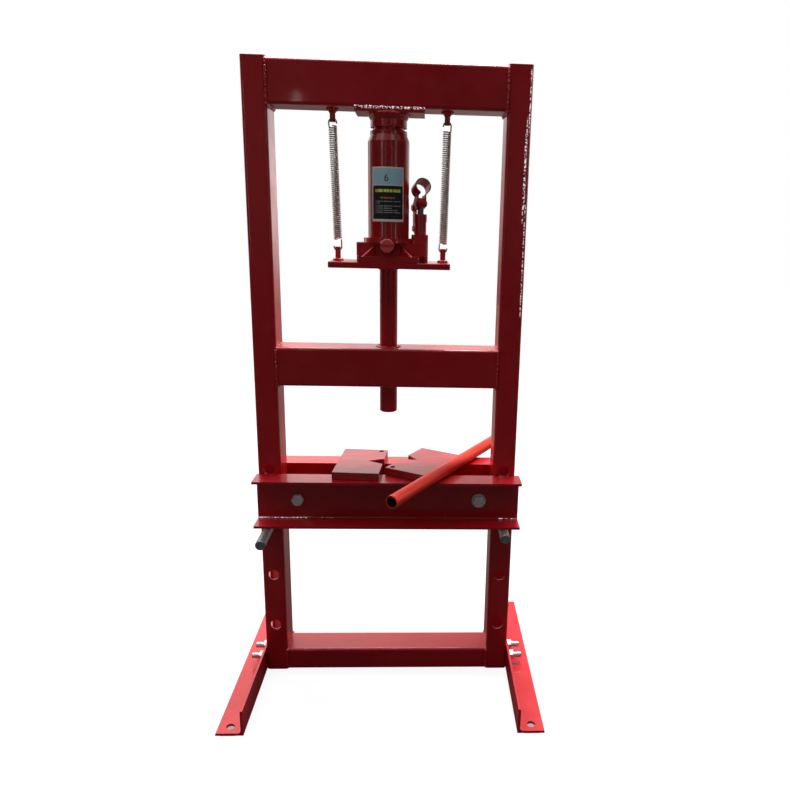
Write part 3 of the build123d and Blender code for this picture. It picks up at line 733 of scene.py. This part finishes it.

# %% [markdown]
# ## Return springs
#
# Each spring is 2.3 mm wire wound into a close coil of some fifty turns, and its last turn is
# bent up into a half ring that hooks through a cross-drilled stud. The coil comes from the recipe;
# the two hooks are smooth curves with a round section.

# %% Springs
WIRE = 1.15  # radius of the wire
COIL = 5.6  # radius of the coil, to the middle of the wire
HOOK_COIL = COIL * 1.06  # the hook opens a little wider than the coil
coil_tops, coil_feet = (910.5, 908.0), (745.5, 741.5)
hook_top, hook_foot = 920.0, 729.5
stud_high_x, stud_low_x = (-84.0, 88.0), (-79.0, 85.0)
spring_turns = 54.0


def hook(x, coil_z, hole_z, lean):
    """The half ring between the coil's end and the stud's hole; lean says which side it leaves."""
    way = 1 if hole_z > coil_z else -1
    centre = hole_z - way * (COIL - WIRE)
    data = bpy.data.curves.new("hook", "CURVE")
    data.dimensions = "3D"
    data.bevel_depth = WIRE * MM
    data.bevel_resolution = 3
    data.use_fill_caps = True
    spline = data.splines.new("NURBS")
    leg = [(-COIL, 2.6, coil_z), (-COIL, 0.8, coil_z + way * 1.0), (-COIL, 0.0, coil_z + way * 2.6)]
    arc = [
        (-HOOK_COIL * math.cos(a), 0.0, centre + way * HOOK_COIL * math.sin(a))
        for a in (math.radians(degrees) for degrees in range(-6, 200, 18))
    ]
    places = leg + arc
    spline.points.add(len(places) - 1)
    for point, (along, out, z) in zip(spline.points, places):
        point.co = ((x + lean * along) * MM, out * MM, z * MM, 1)
    spline.order_u = 3
    spline.use_endpoint_u = True
    spline.resolution_u = 4
    made = bpy.data.objects.new("hook", data)
    bpy.context.collection.objects.link(made)
    shape = settled(made)
    bpy.data.objects.remove(made)
    return shape


def joined(shapes):
    """Several meshes as one."""
    work = bmesh.new()
    for shape in shapes:
        work.from_mesh(shape)
    for face in work.faces:
        face.smooth = True
    whole = bpy.data.meshes.new("whole")
    work.to_mesh(whole)
    work.free()
    return whole


for side, spring_name, high_x, low_x, coil_top, coil_foot in zip(
    (-1, 1), ("left_return_spring", "right_return_spring"), stud_high_x, stud_low_x, coil_tops, coil_feet
):
    head = Vector((high_x, 0, coil_top)) * MM
    tail = Vector((low_x, 0, coil_foot)) * MM
    host = bpy.data.objects.new("host", bpy.data.meshes.new("host"))
    host.matrix_world = Matrix.Translation(tail) @ (head - tail).to_track_quat("Z", "Y").to_matrix().to_4x4()
    coil = wound_wire.cook(host, {
        "Turns": spring_turns,
        "Coil Radius": COIL * MM,
        "Length": (head - tail).length,
        "Wire Radius": WIRE * MM,
        "Material": finishes["spring_wire"],
    })
    hooks = [hook(high_x, coil_top, hook_top, -side), hook(low_x, coil_foot, hook_foot, side)]
    spring = piece(f"{spring_name}_wire", joined([coil, *hooks]), None, "spring_wire")
    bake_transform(spring)
    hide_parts(spring_name)

# %% [markdown]
# ## Weld beads
#
# The frame is welded by hand. Every bead is a row of overlapping drops, a little uneven, in the
# corner between two parts. Beads run round each end of each crossbeam, round the studs and the
# collar, and where the ram meets its carrier. Under the top beam the bead over the jack plate was
# hardly painted, and its bare specks are painted near-white and made to glow: painted glints.

# %% Half-painted weld, with painted glints on its bare specks
glinting_weld = Finish("weld_with_painted_glints", Coat_Weight=0.5, Coat_Roughness=0.05)
# Bare specks: near-white and glowing, bare metal with painted glints.
bare_specks_and_glint = glinting_weld.cloud(330.0, 3.0).above(0.52, 0.03)
glinting_weld.drive("Base Color", glinting_weld.mix(bare_specks_and_glint, (0.30, 0.010, 0.016), (0.92, 0.86, 0.88)))
glinting_weld.drive("Metallic", bare_specks_and_glint * 0.3)
glinting_weld.drive("Roughness", 0.32 - bare_specks_and_glint * 0.12)
# The glow of the bare specks is a painted glint; they are no lamp.
glinting_weld.drive("Emission Color", glinting_weld.mix(bare_specks_and_glint, (0, 0, 0), (0.55, 0.50, 0.50)))
glinting_weld.shader.inputs["Emission Strength"].default_value = 1.0
glinting_weld.bumps(glinting_weld.cloud(700.0, 3.0), 0.0004)
keep_finish(glinting_weld)


# %% [markdown]
# ## Paths for the beads
#
# A bead follows a corner between two parts: a level circle round a stud or a sleeve, or a
# rectangle round the end of a beam. Each path is a list of points, and the recipe does the rest.

# %% Bead paths
def ring_path(centre, radius, steps=40):
    """A level circle in mm."""
    x, y, z = centre
    return [
        Vector((x + radius * math.cos(a), y + radius * math.sin(a), z)) * MM
        for a in (2 * math.pi * step / steps for step in range(steps))
    ]


def bead(points, closed, seed, width=5.2, height=2.8, spacing=2.4, finish="weld_enamel"):
    """The mesh of one weld bead along a path."""
    host = line_object(points, closed)
    return weld_bead.cook(host, {
        "Spacing": spacing * MM, "Width": width * MM, "Height": height * MM, "Seed": seed,
        "Material": finishes[finish],
    })


def seam(side, low, high):
    """The path round one end of a crossbeam, open underneath where the beam is on the floor."""
    x = side * (inner_half + 0.6)
    y = depth_half - 1.2
    loop = [(x, -y, low), (x, -y, high), (x, y, high), (x, y, low)]
    return [Vector(corner) * MM for corner in loop]


inner_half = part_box("top_crossbeam")[1].x / MM
depth_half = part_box("top_crossbeam")[1].y / MM
print("inner half", round(inner_half, 1), "depth half", round(depth_half, 1))

# %% Beads on the frame
COLLAR_BEAD = (928.2, 30.6)  # height and radius
SLEEVE_BEADS = ((578.2, 31), (514.8, 32))  # height and seed, over and under the middle beam
frame_beads = []
for number, beam in enumerate(("top_crossbeam", "mid_crossbeam", "bottom_crossbeam")):
    low, high = (corner.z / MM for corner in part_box(beam))
    for side in (-1, 1):
        closed = low > 1
        path = seam(side, low + (0.4 if closed else 4.0), high - 3.8)
        frame_beads.append(bead(path, closed, seed=number * 2 + side))
for stud_x in stud_high_x:
    frame_beads.append(bead(ring_path((stud_x, 0, 934.4), 8.0), True, int(stud_x), 2.4, 1.6, 1.8))
collar_height, collar_radius = COLLAR_BEAD
frame_beads.append(bead(ring_path((0, 0, collar_height), collar_radius), True, 30, 2.6, 2.0, 2.4))
for height, seed in SLEEVE_BEADS:
    frame_beads.append(bead(ring_path((0, 0, height), 18.4), True, seed, 2.0, 2.0, 1.8))
piece("frame_welds", joined(frame_beads), "frame", "weld_enamel")

# %% [markdown]
# ## Sparkling beads
#
# Two long beads hold the jack plate under the top beam, and rows of small drops run down the
# outer corner of the right post, standing for the highlight on that rounded corner. The plate beads
# hardly took the paint. Both carry the finish whose bare specks are near-white and glow: painted
# glints. The drops are the same bead recipe with small blobs set far apart.

# %% Sparkling beads: over the jack plate, and painted glints down the right post's corner
plate_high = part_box("jack_top_plate")[1]
plate_beads = []
for front in (-1, 1):
    y = front * (depth_half - 1.2)
    points = [Vector((x, y, plate_high.z / MM + 0.2)) * MM for x in range(-48, 55, 4)]
    plate_beads.append(bead(points, False, 40 + front, 2.4, 2.3, 1.9, "weld_with_painted_glints"))
piece("jack_plate_welds", joined(plate_beads), "frame", "weld_with_painted_glints")
# Drops down the right post's outer corner stand for the highlight on its rounded corner: painted glints.
corner_glint_drops = []
for start, end, x, width, gap, seed in (
    (906, 990, 3.4, 1.3, 3.0, 71), (800, 926, 6.2, 1.6, 3.6, 72), (780, 905, 7.6, 0.9, 4.9, 73),
    (640, 800, 4.0, 0.8, 6.3, 74),
):
    corner_x, corner_y = post_high.x / MM - x, -depth_half + 0.2
    points = [Vector((corner_x, corner_y, z)) * MM for z in range(start, end + 1, 6)]
    corner_glint_drops.append(bead(points, False, seed, width, 0.9, gap, "weld_with_painted_glints"))
piece("post_corner_glints", joined(corner_glint_drops), "frame", "weld_with_painted_glints")

# %% [markdown]
# ## Fillets
#
# Weld metal also fills the corners round the collar and the studs, where a row of drops alone would
# leave gaps. Each is a small cone turned about the upright axis.

# %% Poured fillets round the collar and the studs
fillets = [turned([(27.3, 929.0), (32.0, 929.0), (31.0, 926.0), (28.8, 922.5), (27.3, 920.0)], (0, 0, 0))]
for stud_x in stud_high_x:
    cone = [(4.1, 935.0), (9.5, 935.0), (8.5, 933.4), (5.6, 930.5), (4.1, 928.0)]
    fillets.append(turned(cone, (stud_x * MM, 0, 0), 32))
piece("fillets", joined(fillets), "frame", "weld_enamel")

# %% [markdown]
# ## Beads that travel with the jack
#
# The ram is welded under the carrier plate and the lower studs on top of it. These beads ride on
# the carriage, so they go down with it.

# %% Beads on the carriage
carrier_low, carrier_high = (corner.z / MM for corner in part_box("carrier_plate"))
carriage_beads = [bead(ring_path((0, 0, carrier_low - 0.3), 15.0), True, 50, 3.2, 2.8, 2.4)]
for stud_x in stud_low_x:
    stud_ring = ring_path((stud_x, 0, carrier_high + 0.5), 6.4)
    carriage_beads.append(bead(stud_ring, True, int(stud_x), 3.4, 2.2, 2.0))
piece("carriage_welds", joined(carriage_beads), "carriage", "weld_enamel")

# %% [markdown]
# ## Seam under the bed
#
# Bright scraped spots run along the lower flange of the front channel, where the bed has slid on
# its pins. Short rows of very small drops stand for them, in the finish whose near-white specks
# glow as painted glints.

# %% Seam along the bed's lower flange
bed_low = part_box("bed_front_channel")[0]
seam_y, seam_z = -32.4, bed_low.z / MM + 5.2
bed_beads = []
for start, end, width, gap, seed in (
    (-210, -124, 0.9, 3.4, 61), (-104, -96, 0.5, 5.0, 62), (190, 214, 0.9, 3.2, 63),
):
    points = [Vector((x, seam_y, seam_z)) * MM for x in range(start, end + 1, 4)]
    # Their near-white glowing specks are painted glints on top of the scrapes.
    bed_beads.append(bead(points, False, seed, width, width * 0.8, gap, "weld_with_painted_glints"))
piece("bed_seam", joined(bed_beads), "bed", "weld_with_painted_glints")

# %% [markdown]
# ## Screw threads
#
# The foot bolts and the bed bolts stick out of their nuts, and their threads catch the light. The
# same wound-wire recipe gives them: a ridge wound round the shank, one turn for each pitch.

# %% Threads
RIDGE = 0.315  # radius of the ridge's wire, as a share of the pitch


def thread(start, end, radius, pitch):
    """A thread ridge on a shank from start to end, in mm."""
    start, end = Vector(start) * MM, Vector(end) * MM
    along = end - start
    host = bpy.data.objects.new("host", bpy.data.meshes.new("host"))
    host.matrix_world = Matrix.Translation(start) @ along.to_track_quat("Z", "Y").to_matrix().to_4x4()
    return wound_wire.cook(host, {
        "Turns": along.length / MM / pitch,
        "Coil Radius": radius * MM,
        "Length": along.length,
        "Wire Radius": RIDGE * pitch * MM,
        "Material": finishes["bright_zinc"],
    })


nut_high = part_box("foot_nuts")[1]
bolt_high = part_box("foot_bolts")[1]
foot_bolt_z = middle("foot_nuts").z / MM
foot_bolt_y = (nut_high.y / MM) - 8.0
foot_threads = [
    thread(
        (side * nut_high.x / MM, front * foot_bolt_y, foot_bolt_z),
        (side * (bolt_high.x / MM - 1.2), front * foot_bolt_y, foot_bolt_z),
        4.8, 1.5,
    )
    for side in (-1, 1)
    for front in (-1, 1)
]
piece("foot_bolt_threads", joined(foot_threads), "frame", "bright_zinc")

BED_BOLTS_X = (-147.5, 152.5)
bed_nut_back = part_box("bed_nuts")[1].y / MM
bed_bolt_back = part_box("bed_bolts")[1].y / MM
bed_bolt_height = middle("bed_bolts").z / MM
bed_threads = [
    thread((x, bed_nut_back, bed_bolt_height), (x, bed_bolt_back - 1.2, bed_bolt_height), 5.8, 1.75)
    for x in BED_BOLTS_X
]
piece("bed_bolt_threads", joined(bed_threads), "bed", "dull_zinc")

# %% [markdown]
# ## The jack's label
#
# A printed film wraps the front of the tank: a pale border with round corners, a blue-grey panel
# above with the capacity as a plain number, and a black panel below. The real one is covered in
# words; here coloured bars stand for them. The print reads two lengths on the film: how far round
# the tank a point is, and how high.

# %% Label film
label_low, label_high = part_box("jack_label")
label_radius = -label_low.y
label_height = label_high.z - label_low.z
film = Finish("label_film", Specular_IOR_Level=0.25)
round_tank = film.axis("X").maths("ARCTAN2", film.axis("Y") * -1) * label_radius
down = 1 - (film.axis("Z") - label_low.z) * (1 / label_height)
half_width = math.radians(47.0) * label_radius
edge_x = round_tank.maths("ABSOLUTE")
chop = film.cloud(1100.0, 1.0, stretch=(1, 1, 0.01)).above(0.44, 0.05)


def bar(top, bottom, left, right, broken=True):
    """A printed bar; top and bottom are fractions down the label, left and right are mm."""
    inside = down.between(top, bottom) * round_tank.between(left * MM, right * MM)
    return inside * chop if broken else inside


panel_half = half_width - 1.6 * MM
in_width = 1 - edge_x.above(panel_half)
blue_panel = in_width * down.between(0.030, 0.325)
black_panel = in_width * down.between(0.340, 0.955)
paper_tone = film.mix(film.cloud(120.0, 4.0), (0.86, 0.82, 0.83), (0.95, 0.93, 0.93))
print_tone = film.mix(blue_panel, paper_tone, (0.42, 0.72, 0.84))
print_tone = film.mix(black_panel, print_tone, (0.018, 0.021, 0.024))
print_tone = film.mix(bar(0.405, 0.460, -20.5, 20.5), print_tone, (0.85, 0.95, 0.12))
print_tone = film.mix(bar(0.545, 0.580, -11.0, 11.0) * 0.6, print_tone, (0.85, 0.30, 0.07))
for top, right in ((0.620, 20), (0.655, -12), (0.705, 20), (0.745, 6), (0.785, 16), (0.825, 20)):
    print_tone = film.mix(bar(top, top + 0.014, -19.5, right) * 0.55, print_tone, (0.75, 0.80, 0.82))
film.drive("Base Color", print_tone)
film.drive("Roughness", 0.45 + film.cloud(60.0, 3.0) * 0.15)
film.bumps(film.cloud(300.0, 2.0), 0.00002)
keep_finish(film)
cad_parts["jack_label"].data.materials.clear()
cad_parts["jack_label"].data.materials.append(film.material)

# %% [markdown]
# ## Capacity number
#
# The number is dark ink, set as flat text and then bent round the tank by its own radius.

# %% Capacity number
ink = Finish("label_ink", Specular_IOR_Level=0.4)
ink.drive("Base Color", ink.mix(ink.cloud(900.0, 2.0), (0.10, 0.012, 0.03), (0.14, 0.02, 0.045)))
ink.drive("Roughness", 0.35 + ink.cloud(300.0, 2.0) * 0.1)
keep_finish(ink)


def wrapped_number(text, size, centre_arc, centre_z):
    """A flat number bent round the tank, in mm."""
    data = bpy.data.curves.new("number", "FONT")
    data.body = text
    data.size = size * MM
    data.align_x, data.align_y = "CENTER", "CENTER"
    data.extrude = 0.06 * MM
    data.offset = 0.12 * MM
    made = bpy.data.objects.new("number", data)
    bpy.context.collection.objects.link(made)
    shape = settled(made)
    bpy.data.objects.remove(made)
    for vertex in shape.vertices:
        angle = (vertex.co.x + centre_arc * MM) / label_radius
        radius = label_radius + 0.05 * MM + vertex.co.z
        vertex.co = (radius * math.sin(angle), -radius * math.cos(angle), centre_z * MM + vertex.co.y)
    return shape


piece("label_number", wrapped_number("6", 14.5, -2.0, 836.5), "carriage", "label_ink")
